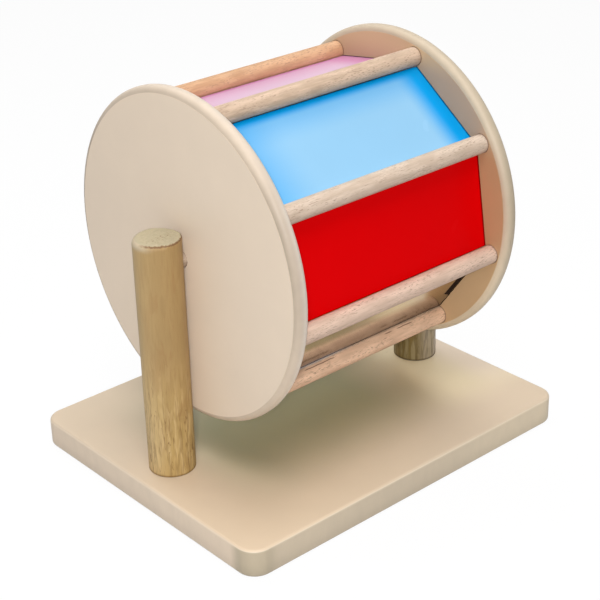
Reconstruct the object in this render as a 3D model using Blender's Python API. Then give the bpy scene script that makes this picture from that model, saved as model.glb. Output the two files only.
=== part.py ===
"""A wooden drum spinner: eight dowels and eight flat panels join two discs into a drum,
which turns on an axle held by two round posts on a flat board.

Metres, +Z up. The origin is the middle of the board's underside. X runs along the axle, Y across it.
"""

from math import cos, pi, radians, sin, sqrt, tan

import bmesh
import bpy
from mathutils import Matrix, Vector

# Board
BOARD_LENGTH = 0.257
BOARD_WIDTH = 0.208
BOARD_THICKNESS = 0.018
BOARD_CORNER_RADIUS = 0.012
BOARD_EDGE_ROUNDING = 0.002

# Posts, each standing on a tenon that is glued into the board
POST_DIAMETER = 0.0285
POST_INSET = 0.025  # from the board's end to the middle of the post
POST_ABOVE_AXIS = 0.0187
POST_TOP_ROUNDING = 0.0024
TENON_DIAMETER = 0.018
BOARD_LEFT_UNDER_TENON = 0.0077

# One countersunk screw goes up through the board into each post
SCREW_DIAMETER = 0.004
SCREW_LENGTH = 0.035
SCREW_HEAD_DIAMETER = 0.008
SCREW_HEAD_RIM = 0.0004
SCREW_POINT_LENGTH = 0.005
SCREW_TIP_DIAMETER = 0.0006
SCREW_SUNK_BY = 0.0005
RECESS_SPAN = 0.0046
RECESS_WIDTH = 0.0012
RECESS_DEPTH = 0.0016

# Drum
DISC_DIAMETER = 0.200
DISC_THICKNESS = 0.009
DISC_EDGE_ROUNDING = 0.0035
DISC_TO_BOARD = 0.0313
DISC_TO_POST = 0.00225
SIDES = 8
FIRST_DOWEL_ANGLE = radians(14)  # from +Y towards +Z, with the drum at rest
DOWEL_DIAMETER = 0.0113
DOWEL_INSET = 0.01025  # from the disc's rim to the middle of the dowel
DOWEL_END_CHAMFER = 0.0006
DISC_LEFT_BEHIND_DOWEL = 0.004
PANEL_THICKNESS = 0.003
PANEL_SET_BACK = 0.0035  # from the dowels' middles in to the panel's outer face, along its normal
PANEL_EDGE_ROUNDING = 0.0003
PANEL_SEAT_DEPTH = 0.003

# The axle is glued in the discs, and its ends turn in blind holes in the posts
AXLE_DIAMETER = 0.010
AXLE_END_CHAMFER = 0.0008
POST_LEFT_BEHIND_AXLE = 0.0125

CLEARANCE = 0.0003
CUTTER_REACH = 0.002  # how far a cutter stands out of the face that it enters

# How finely the round shapes are faceted
DISC_FACETS = 96
POST_FACETS = 48
AXLE_FACETS = 32
DOWEL_FACETS = 24
SCREW_FACETS = 24
CORNER_STEPS = 6
ROUNDING_STEPS = 3
SMOOTH_UP_TO = radians(40)

# Places that follow from the sizes above
DISC_RADIUS = DISC_DIAMETER / 2
POST_RADIUS = POST_DIAMETER / 2
DOWEL_RADIUS = DOWEL_DIAMETER / 2
AXLE_RADIUS = AXLE_DIAMETER / 2
SCREW_RADIUS = SCREW_DIAMETER / 2
SCREW_HEAD_RADIUS = SCREW_HEAD_DIAMETER / 2
AXIS_Z = BOARD_THICKNESS + DISC_TO_BOARD + DISC_RADIUS
POST_X = BOARD_LENGTH / 2 - POST_INSET
POST_FOOT_Z = BOARD_THICKNESS + CLEARANCE
POST_TOP_Z = AXIS_Z + POST_ABOVE_AXIS
TENON_END_Z = BOARD_LEFT_UNDER_TENON + CLEARANCE
SCREW_CONE_Z = SCREW_SUNK_BY + SCREW_HEAD_RIM
SCREW_CONE_HEIGHT = SCREW_HEAD_RADIUS - SCREW_RADIUS
SCREW_TIP_Z = SCREW_SUNK_BY + SCREW_LENGTH
DISC_OUTER_X = POST_X - POST_RADIUS - DISC_TO_POST
DISC_INNER_X = DISC_OUTER_X - DISC_THICKNESS
DISC_MIDDLE_X = (DISC_OUTER_X + DISC_INNER_X) / 2
DOWEL_SEAT_X = DISC_OUTER_X - DISC_LEFT_BEHIND_DOWEL
PANEL_SEAT_X = DISC_INNER_X + PANEL_SEAT_DEPTH
AXLE_SEAT_X = POST_X + POST_RADIUS - POST_LEFT_BEHIND_AXLE
SIDE_ANGLE = 2 * pi / SIDES
DOWEL_CIRCLE_RADIUS = DISC_RADIUS - DOWEL_INSET
PANEL_FACE_RADIUS = DOWEL_CIRCLE_RADIUS * cos(SIDE_ANGLE / 2) - PANEL_SET_BACK
PANEL_MIDDLE_RADIUS = PANEL_FACE_RADIUS - PANEL_THICKNESS / 2

ALONG_X = Matrix.Rotation(pi / 2, 4, "Y")

# Colour, roughness and metallic value
BEIGE_LACQUER = ((0.68, 0.56, 0.44), 0.45, 0.0)
BEECH = ((0.74, 0.58, 0.43), 0.6, 0.0)
OILED_WOOD = ((0.42, 0.28, 0.14), 0.6, 0.0)
ZINC = ((0.62, 0.61, 0.58), 0.35, 1.0)
# The panels follow the dowels round, from the one after the first dowel
PANELS = {
    "panel_orange": ((0.90, 0.27, 0.02), 0.25, 0.0),
    "panel_pink": ((0.85, 0.38, 0.68), 0.25, 0.0),
    "panel_blue": ((0.10, 0.48, 0.85), 0.25, 0.0),
    "panel_red": ((0.65, 0.002, 0.004), 0.25, 0.0),
    "panel_mirror": ((0.86, 0.86, 0.86), 0.03, 1.0),
    "panel_yellow": ((0.90, 0.62, 0.03), 0.25, 0.0),
    "panel_green": ((0.08, 0.42, 0.09), 0.25, 0.0),
    "panel_purple": ((0.22, 0.07, 0.42), 0.25, 0.0),
}


def clear_scene():
    for old in list(bpy.data.objects):
        bpy.data.objects.remove(old)


def place(name, solid, parent=None, finish=None):
    """Turns a bmesh into a named object, smooth where its facets nearly agree."""
    bmesh.ops.recalc_face_normals(solid, faces=solid.faces)
    mesh = bpy.data.meshes.new(name)
    solid.to_mesh(mesh)
    solid.free()
    mesh.shade_smooth()
    mesh.set_sharp_from_angle(angle=SMOOTH_UP_TO)
    made = bpy.data.objects.new(name, mesh)
    bpy.context.scene.collection.objects.link(made)
    made.parent = parent
    if finish:
        mesh.materials.append(material(name, *finish))
    return made


def material(name, colour, roughness, metallic):
    made = bpy.data.materials.new(name)
    made.use_nodes = True
    shader = made.node_tree.nodes["Principled BSDF"]
    shader.inputs["Base Color"].default_value = (*colour, 1.0)
    shader.inputs["Roughness"].default_value = roughness
    shader.inputs["Metallic"].default_value = metallic
    return made


def cut(target, name, solid, parent=None):
    """Takes the bmesh's closed bodies out of the target."""
    cutter = place(name, solid, parent)
    cutter.hide_render = True
    cutter.display_type = "WIRE"
    removal = target.modifiers.new(name, "BOOLEAN")
    removal.operation = "DIFFERENCE"
    removal.object = cutter


def turned(profile, facets):
    """A solid turned about Z from (radius, z) points, with flat ends at the first and the last."""
    solid = bmesh.new()
    turns = [2 * pi * step / facets for step in range(facets)]
    rings = [[solid.verts.new((r * cos(t), r * sin(t), z)) for t in turns] for r, z in profile]
    for lower, upper in zip(rings, rings[1:]):
        for here in range(facets):
            after = (here + 1) % facets
            solid.faces.new((lower[here], lower[after], upper[after], upper[here]))
    solid.faces.new(rings[0])
    solid.faces.new(rings[-1])
    return solid


def rounded_end(radius, z, rounding, steps=ROUNDING_STEPS):
    """Profile points from the side at this radius, over a rounded edge, to the end face at z."""
    inwards = 1 if z > 0 else -1
    turns = [pi / 2 * step / steps for step in range(steps + 1)]
    return [(radius - rounding * (1 - cos(t)), z - inwards * rounding * (1 - sin(t))) for t in turns]


def chamfered_rod(radius, length, chamfer, facets):
    """A rod about Z, centred, with chamfered ends."""
    upper = [(radius, length / 2 - chamfer), (radius - chamfer, length / 2)]
    lower = [(r, -z) for r, z in reversed(upper)]
    return turned(lower + upper, facets)


def prism(outline, low, high):
    """A closed outline of (x, y) points drawn up from z low to z high."""
    solid = bmesh.new()
    face = solid.faces.new([solid.verts.new((x, y, low)) for x, y in outline])
    drawn = bmesh.ops.extrude_face_region(solid, geom=[face])
    raised = [item for item in drawn["geom"] if isinstance(item, bmesh.types.BMVert)]
    bmesh.ops.translate(solid, verts=raised, vec=(0, 0, high - low))
    return solid


def rounded_rectangle(length, width, radius):
    outline = []
    for quarter, (along, across) in enumerate(((1, 1), (-1, 1), (-1, -1), (1, -1))):
        middle = Vector((along * (length / 2 - radius), across * (width / 2 - radius)))
        for step in range(CORNER_STEPS + 1):
            turn = pi / 2 * (quarter + step / CORNER_STEPS)
            outline.append(middle + radius * Vector((cos(turn), sin(turn))))
    return outline


def round_edges(target, width, steps):
    rounding = target.modifiers.new("rounded_edges", "BEVEL")
    rounding.width = width
    rounding.segments = steps
    rounding.limit_method = "ANGLE"
    rounding.angle_limit = radians(50)


def on_circle(radius, angle):
    return Vector((0, radius * cos(angle), radius * sin(angle)))


def sides():
    """The dowels' angles, which are the panels' too when half a side is added."""
    return [SIDE_ANGLE * number for number in range(SIDES)]


def panel_width():
    """As wide as clears the dowel on each side, or else the next panels."""
    dowel_across = DOWEL_CIRCLE_RADIUS * sin(SIDE_ANGLE / 2)
    dowel_out = DOWEL_CIRCLE_RADIUS * cos(SIDE_ANGLE / 2)
    half_width = (PANEL_FACE_RADIUS - PANEL_THICKNESS) * tan(SIDE_ANGLE / 2) - CLEARANCE
    nearest = min(max(dowel_out, PANEL_FACE_RADIUS - PANEL_THICKNESS), PANEL_FACE_RADIUS)
    reach = DOWEL_RADIUS + CLEARANCE
    depth = abs(dowel_out - nearest)
    if depth < reach:
        half_width = min(half_width, dowel_across - sqrt(reach**2 - depth**2))
    return 2 * half_width


def make_board():
    outline = rounded_rectangle(BOARD_LENGTH, BOARD_WIDTH, BOARD_CORNER_RADIUS)
    board = place("base_board", prism(outline, 0, BOARD_THICKNESS), finish=BEIGE_LACQUER)
    round_edges(board, BOARD_EDGE_ROUNDING, ROUNDING_STEPS)
    tenon_hole = TENON_DIAMETER / 2 + CLEARANCE
    screw_hole = SCREW_RADIUS + CLEARANCE
    countersink = SCREW_HEAD_RADIUS + CLEARANCE
    cone_z = SCREW_CONE_Z + CLEARANCE
    profile = [
        (countersink, -CUTTER_REACH),
        (countersink, cone_z),
        (screw_hole, cone_z + SCREW_CONE_HEIGHT),
        (screw_hole, BOARD_LEFT_UNDER_TENON),
        (tenon_hole, BOARD_LEFT_UNDER_TENON),
        (tenon_hole, BOARD_THICKNESS + CUTTER_REACH),
    ]
    for side, end in ENDS.items():
        hole = turned(profile, POST_FACETS)
        bmesh.ops.translate(hole, verts=hole.verts, vec=(end * POST_X, 0, 0))
        cut(board, f"{side}_post_hole", hole)


def make_post(side, end):
    pilot = SCREW_RADIUS + CLEARANCE
    profile = [
        (pilot, SCREW_TIP_Z + CLEARANCE),
        (pilot, TENON_END_Z),
        (TENON_DIAMETER / 2, TENON_END_Z),
        (TENON_DIAMETER / 2, POST_FOOT_Z),
        (POST_RADIUS, POST_FOOT_Z),
        *rounded_end(POST_RADIUS, POST_TOP_Z, POST_TOP_ROUNDING),
    ]
    post = place(f"{side}_post", turned(profile, POST_FACETS), finish=OILED_WOOD)
    post.location.x = end * POST_X
    mouth_x = POST_X - POST_RADIUS - CUTTER_REACH
    bore = turned([(AXLE_RADIUS + CLEARANCE, x) for x in (mouth_x, AXLE_SEAT_X)], AXLE_FACETS)
    bmesh.ops.transform(bore, matrix=ALONG_X, verts=bore.verts)
    bmesh.ops.scale(bore, vec=(end, 1, 1), verts=bore.verts)
    bmesh.ops.translate(bore, vec=(0, 0, AXIS_Z), verts=bore.verts)
    cut(post, f"{side}_axle_hole", bore)


def make_screw(side, end):
    profile = [
        (SCREW_HEAD_RADIUS, SCREW_SUNK_BY),
        (SCREW_HEAD_RADIUS, SCREW_CONE_Z),
        (SCREW_RADIUS, SCREW_CONE_Z + SCREW_CONE_HEIGHT),
        (SCREW_RADIUS, SCREW_TIP_Z - SCREW_POINT_LENGTH),
        (SCREW_TIP_DIAMETER / 2, SCREW_TIP_Z),
    ]
    screw = place(f"{side}_post_screw", turned(profile, SCREW_FACETS), finish=ZINC)
    screw.location.x = end * POST_X
    arm, half = RECESS_SPAN / 2, RECESS_WIDTH / 2
    quarter = [(half, half), (half, arm), (-half, arm)]
    cross = [Matrix.Rotation(pi / 2 * turn, 2) @ Vector(p) for turn in range(4) for p in quarter]
    recess = prism(cross, SCREW_SUNK_BY - CUTTER_REACH, SCREW_SUNK_BY + RECESS_DEPTH)
    bmesh.ops.translate(recess, vec=(end * POST_X, 0, 0), verts=recess.verts)
    cut(screw, f"{side}_screw_recess", recess)


def make_drum_axis():
    """The drum hangs on this empty, which is turned to show the dowels where they rest."""
    axis = bpy.data.objects.new("drum_axis", None)
    bpy.context.scene.collection.objects.link(axis)
    axis.location.z = AXIS_Z
    axis.rotation_euler.x = FIRST_DOWEL_ANGLE
    return axis


def make_axle(drum):
    length = 2 * (AXLE_SEAT_X - CLEARANCE)
    rod = chamfered_rod(AXLE_RADIUS, length, AXLE_END_CHAMFER, AXLE_FACETS)
    axle = place("axle", rod, drum, BEECH)
    axle.rotation_euler.y = pi / 2


def make_disc(drum, side, end):
    rounding = min(DISC_EDGE_ROUNDING, DISC_THICKNESS / 2 - CLEARANCE)
    outer = rounded_end(DISC_RADIUS, DISC_THICKNESS / 2, rounding)
    profile = [(r, -z) for r, z in reversed(outer)] + outer
    disc = place(f"{side}_disc", turned(profile, DISC_FACETS), drum, BEIGE_LACQUER)
    disc.rotation_euler.y = pi / 2
    disc.location.x = end * DISC_MIDDLE_X

    holes = bmesh.new()
    grooves = bmesh.new()
    mouth_x = DISC_INNER_X - CUTTER_REACH
    for angle in sides():
        seat = on_circle(DOWEL_CIRCLE_RADIUS, angle)
        seat.x = end * (mouth_x + DOWEL_SEAT_X) / 2
        drill(holes, seat, DOWEL_RADIUS + CLEARANCE, DOWEL_SEAT_X - mouth_x, DOWEL_FACETS)
        middle = on_circle(PANEL_MIDDLE_RADIUS, angle + SIDE_ANGLE / 2)
        middle.x = end * (mouth_x + PANEL_SEAT_X) / 2
        turn = Matrix.Rotation(angle + SIDE_ANGLE / 2 - pi / 2, 4, "X")
        size = (PANEL_SEAT_X - mouth_x, panel_width() + 2 * CLEARANCE, PANEL_THICKNESS + 2 * CLEARANCE)
        shape = Matrix.Translation(middle) @ turn @ Matrix.Diagonal((*size, 1))
        bmesh.ops.create_cube(grooves, size=1.0, matrix=shape)
    through = Vector((end * DISC_MIDDLE_X, 0, 0))
    drill(holes, through, AXLE_RADIUS + CLEARANCE, DISC_THICKNESS + 2 * CUTTER_REACH, AXLE_FACETS)
    cut(disc, f"{side}_disc_holes", holes, drum)
    cut(disc, f"{side}_disc_grooves", grooves, drum)


def drill(cutter, middle, radius, depth, facets):
    """Adds a cylinder along X to a cutter."""
    matrix = Matrix.Translation(middle) @ ALONG_X
    shape = {"segments": facets, "radius1": radius, "radius2": radius, "depth": depth}
    bmesh.ops.create_cone(cutter, cap_ends=True, matrix=matrix, **shape)


def make_dowels(drum):
    length = 2 * (DOWEL_SEAT_X - CLEARANCE)
    for number, angle in enumerate(sides(), start=1):
        rod = chamfered_rod(DOWEL_RADIUS, length, DOWEL_END_CHAMFER, DOWEL_FACETS)
        dowel = place(f"dowel_{number}", rod, drum, BEECH)
        dowel.location = on_circle(DOWEL_CIRCLE_RADIUS, angle)
        dowel.rotation_euler.y = pi / 2


def make_panels(drum):
    size = (2 * (PANEL_SEAT_X - CLEARANCE), panel_width(), PANEL_THICKNESS)
    for angle, (name, finish) in zip(sides(), PANELS.items()):
        slab = bmesh.new()
        bmesh.ops.create_cube(slab, size=1.0, matrix=Matrix.Diagonal((*size, 1)))
        panel = place(name, slab, drum, finish)
        panel.location = on_circle(PANEL_MIDDLE_RADIUS, angle + SIDE_ANGLE / 2)
        panel.rotation_euler.x = angle + SIDE_ANGLE / 2 - pi / 2
        round_edges(panel, PANEL_EDGE_ROUNDING, 1)


ENDS = {"left": -1, "right": 1}


def main():
    clear_scene()
    make_board()
    drum = make_drum_axis()
    make_axle(drum)
    for side, end in ENDS.items():
        make_post(side, end)
        make_screw(side, end)
        make_disc(drum, side, end)
    make_dowels(drum)
    make_panels(drum)


main()
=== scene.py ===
"""The looks of the drum spinner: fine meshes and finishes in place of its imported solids.

Metres, +Z up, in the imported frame. X runs along the axle, from the near post (left) to the far one.
"""

from collections import namedtuple
from math import atan2, cos, pi, radians, sin

import bmesh
import bpy
from mathutils import Matrix, Vector, noise


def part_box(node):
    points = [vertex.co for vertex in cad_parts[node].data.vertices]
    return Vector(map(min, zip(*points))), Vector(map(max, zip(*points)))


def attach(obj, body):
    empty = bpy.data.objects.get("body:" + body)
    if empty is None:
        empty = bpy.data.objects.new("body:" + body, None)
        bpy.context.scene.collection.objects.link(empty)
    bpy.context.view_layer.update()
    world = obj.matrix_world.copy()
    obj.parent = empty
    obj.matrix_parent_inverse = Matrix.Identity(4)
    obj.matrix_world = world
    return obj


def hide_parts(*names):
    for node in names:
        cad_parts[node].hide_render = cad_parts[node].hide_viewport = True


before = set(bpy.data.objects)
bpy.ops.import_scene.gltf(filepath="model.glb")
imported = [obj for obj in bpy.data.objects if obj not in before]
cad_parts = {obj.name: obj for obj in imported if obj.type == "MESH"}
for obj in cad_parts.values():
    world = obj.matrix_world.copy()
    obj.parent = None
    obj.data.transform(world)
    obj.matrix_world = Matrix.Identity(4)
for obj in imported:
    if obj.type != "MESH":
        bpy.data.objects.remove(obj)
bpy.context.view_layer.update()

# The photograph's camera: where it stands, how it is turned in degrees, and its lens on a 36 mm sensor
CAMERA_PLACE = Vector((-0.5469, -0.6322, 0.5071))
CAMERA_AZIMUTH = 40.927
CAMERA_ELEVATION = 26.362
CAMERA_ROLL = -1.490
LENS = 90.277
SENSOR = 36

# Sizes of the round pieces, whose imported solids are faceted
POST_DIAMETER = 0.0285
POST_TOP_ROUNDING = 0.0024
TENON_DIAMETER = 0.018
DISC_DIAMETER = 0.200
DISC_EDGE_ROUNDING = 0.0038
DISC_EDGE_SHOULDER = 0.00015
DOWEL_DIAMETER = 0.0113
DOWEL_END_ROUNDING = 0.0008
DOWEL_SOCKET_DEPTH = 0.005
AXLE_DIAMETER = 0.010
AXLE_END_ROUNDING = 0.0008
PANEL_WIDTH = 0.0591
PANEL_THICKNESS = 0.003
PANEL_EDGE_ROUNDING = 0.0005
PANEL_GROOVE_DEPTH = 0.003
BOARD_CORNER_RADIUS = 0.012
BOARD_EDGE_ROUNDING = 0.002
SCREW_DIAMETER = 0.004
SCREW_HEAD_DIAMETER = 0.008
SCREW_HEAD_RIM = 0.0004
SCREW_HEAD_EASE = 0.0001
SCREW_POINT_LENGTH = 0.005
SCREW_POINT_RADIUS = 0.0003
RECESS_SPAN = 0.0046
RECESS_WIDTH = 0.0012
RECESS_DEPTH = 0.0018
CLEARANCE = 0.0003
CUTTER_REACH = 0.002
# A recess arm outside the head, at it and at the bottom: shares of its span on X and Y, and how deep
RECESS_LEVELS = ((1.1, 1.1, -CUTTER_REACH), (1.0, 1.0, 0.0), (0.45, 0.7, RECESS_DEPTH))

# How finely they are made
DISC_FACETS = 192
POST_FACETS = 96
ROD_FACETS = 48
DISC_EDGE_STEPS = 8
ROD_END_STEPS = 4
BOARD_CORNER_STEPS = 16
BOARD_EDGE_STEPS = 6
POST_SIDE_STEPS = 56
POST_RIM_STEPS = 8
PANEL_EDGE_STEPS = 3
CAP_RIM = 0.0003
SMOOTH_UP_TO = radians(35)

# How uneven the rods are, which are sanded by hand: the spacing of their rings, how high the bulges
# are, and how close they lie round and along a rod
AXLE_RINGS = 0.006
AXLE_BULGE = 0.00002
AXLE_SEED = 40
DOWEL_RINGS = 0.004
DOWEL_BULGE = 0.00004
DOWEL_SEED = 7
BULGES_ROUND = 90
BULGES_ALONG = 25

# How uneven the posts are: the side, the rim with its wear and its notches, and the end grain
POST_SEED = 11
POST_BULGE = 0.00012
POST_BULGES_ROUND = 2.2
POST_BULGES_ALONG = 30
RIM_INSET = 0.0001
RIM_RIPPLES = 1.6
RIM_WEAR = 0.4
RIM_WIDEST_WEAR = 1.5
NOTCH_RIPPLES = 7
NOTCH_SEED = 5
NOTCH_DEPTH = 0.0009
NOTCH_THRESHOLD = 0.25
END_GRAIN_RINGS = (0.8, 0.6, 0.4, 0.2)
END_GRAIN_DIP = 0.00015
END_GRAIN_RIPPLES = 300

ENDS = {"left": -1, "right": 1}
DOWELS = [f"dowel_{number}" for number in range(1, 9)]


def middle(node):
    """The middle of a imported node's box."""
    low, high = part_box(node)
    return (low + high) / 2


def size(node):
    low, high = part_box(node)
    return high - low


AXIS_Z = middle("axle").z
BOARD_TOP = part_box("base_board")[1].z
DRUM_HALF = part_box("right_disc")[0].x


def outward(node):
    """A place at the node's middle, with X along the axle and Z straight away from it."""
    centre = middle(node)
    angle = atan2(centre.z - AXIS_Z, centre.y)
    return Matrix.Translation(centre) @ Matrix.Rotation(angle - pi / 2, 4, "X")


def direction(azimuth, elevation):
    """A way from the toy, in degrees. Azimuth goes round from the front (-Y) towards the left (-X)."""
    turn, rise = radians(azimuth), radians(elevation)
    return Vector((-sin(turn) * cos(rise), -cos(turn) * cos(rise), sin(rise)))


def shifted(place, offsets):
    """A pair of places on an axis, given from one of the toy's own."""
    return [place + offset for offset in offsets]


# Meshes


def piece(name, solid, place=Matrix()):
    """Turns a bmesh into a named object at its place, smooth where its faces nearly agree."""
    bmesh.ops.recalc_face_normals(solid, faces=solid.faces)
    mesh = bpy.data.meshes.new(name)
    solid.to_mesh(mesh)
    solid.free()
    mesh.shade_smooth()
    mesh.set_sharp_from_angle(angle=SMOOTH_UP_TO)
    made = bpy.data.objects.new(name, mesh)
    bpy.context.scene.collection.objects.link(made)
    made.matrix_world = place
    return made


def stand_for(made, node, body, material):
    """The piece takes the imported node's place, on its body, with this material."""
    made.data.materials.clear()
    made.data.materials.append(material)
    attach(made, body)
    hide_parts(node)


def carve(target, solid):
    """Takes a bmesh, given in the target's own place, out of the target for good."""
    cutter = piece("cutter", solid, target.matrix_world.copy())
    removal = target.modifiers.new("carve", "BOOLEAN")
    removal.operation = "DIFFERENCE"
    removal.object = cutter
    bpy.context.view_layer.update()
    result = target.evaluated_get(bpy.context.evaluated_depsgraph_get())
    carved = bpy.data.meshes.new_from_object(result)
    target.modifiers.clear()
    target.data = carved
    carved.set_sharp_from_angle(angle=SMOOTH_UP_TO)
    bpy.data.objects.remove(cutter)


def loft(rings, cap_rim=0.0):
    """Closed rings of points, joined in order, and capped. A narrow rim keeps a cap's shading flat."""
    solid = bmesh.new()
    made = [[solid.verts.new(point) for point in ring] for ring in rings]
    for lower, upper in zip(made, made[1:]):
        for here in range(len(lower)):
            after = (here + 1) % len(lower)
            solid.faces.new((lower[here], lower[after], upper[after], upper[here]))
    caps = [solid.faces.new(made[0]), solid.faces.new(made[-1])]
    if cap_rim:
        bmesh.ops.inset_individual(solid, faces=caps, thickness=cap_rim)
    return solid


def full_turn(facets):
    return [2 * pi * step / facets for step in range(facets)]


def quarter_turn(steps):
    return [pi / 2 * step / steps for step in range(steps + 1)]


def polar(radius, turn, z):
    return Vector((radius * cos(turn), radius * sin(turn), z))


def turned_rings(profile, facets):
    """Rings about Z from (radius, z) points."""
    return [[polar(radius, turn, z) for turn in full_turn(facets)] for radius, z in profile]


def rounded_end(radius, reach, rounding, steps):
    """(radius, z) points over the rounded rim of a solid that ends at z = reach."""
    turns = quarter_turn(steps)
    return [(radius - rounding * (1 - cos(t)), reach - rounding * (1 - sin(t))) for t in turns]


def other_end(profile):
    return [(radius, -z) for radius, z in reversed(profile)]


def along_x(solid):
    """Lays down a solid that was made along Z."""
    bmesh.ops.rotate(solid, verts=solid.verts, matrix=Matrix.Rotation(pi / 2, 3, "Y"))
    return solid


def rod(diameter, length, rounding, spacing, unevenness, seed):
    """A wooden rod along X, with rounded ends and a slightly uneven, hand-sanded side."""
    radius = diameter / 2
    end = rounded_end(radius, length / 2, rounding, ROD_END_STEPS)
    count = round((length - 2 * rounding) / spacing)
    side = [(radius, (length / 2 - rounding) * (2 * step / count - 1)) for step in range(1, count)]
    rings = turned_rings(other_end(end) + side + end, ROD_FACETS)
    for ring in rings:
        for point in ring:
            place = (point.x * BULGES_ROUND, point.y * BULGES_ROUND, point.z * BULGES_ALONG + seed)
            scale = 1 + unevenness * noise.noise(Vector(place)) / radius
            point.x *= scale
            point.y *= scale
    return along_x(loft(rings))


def add_cylinder(solid, start, end, diameter):
    """Adds a closed cylinder between two points on a line along X or Z."""
    start, end, radius = Vector(start), Vector(end), diameter / 2
    way = end - start
    place = Matrix.Translation((start + end) / 2) @ way.to_track_quat("Z", "Y").to_matrix().to_4x4()
    bmesh.ops.create_cone(
        solid,
        cap_ends=True,
        segments=ROD_FACETS,
        radius1=radius,
        radius2=radius,
        depth=way.length,
        matrix=place,
    )


def add_box(solid, spans, place):
    """Adds a box of these spans on X, Y and Z, with its middle at a place."""
    bmesh.ops.create_cube(solid, size=1.0, matrix=place @ Matrix.Diagonal((*spans, 1)))


# Materials


def feed(tree, socket, value):
    """Gives a socket a number, a colour or another node's output."""
    if isinstance(value, bpy.types.NodeSocket):
        tree.links.new(value, socket)
    elif isinstance(value, tuple) and len(value) == 3 and len(socket.default_value) == 4:
        socket.default_value = (*value, 1.0)
    else:
        socket.default_value = value


def math_node(tree, operation, first, second):
    node = tree.nodes.new("ShaderNodeMath")
    node.operation = operation
    feed(tree, node.inputs[0], first)
    feed(tree, node.inputs[1], second)
    return node.outputs[0]


# The sockets of a Mix node that take and give colours. Their names are shared by other kinds of value.
MIX_SHARE, MIX_FIRST, MIX_SECOND, MIX_RESULT = 0, 6, 7, 2
SPECK_SOFTNESS = 0.4


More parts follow.
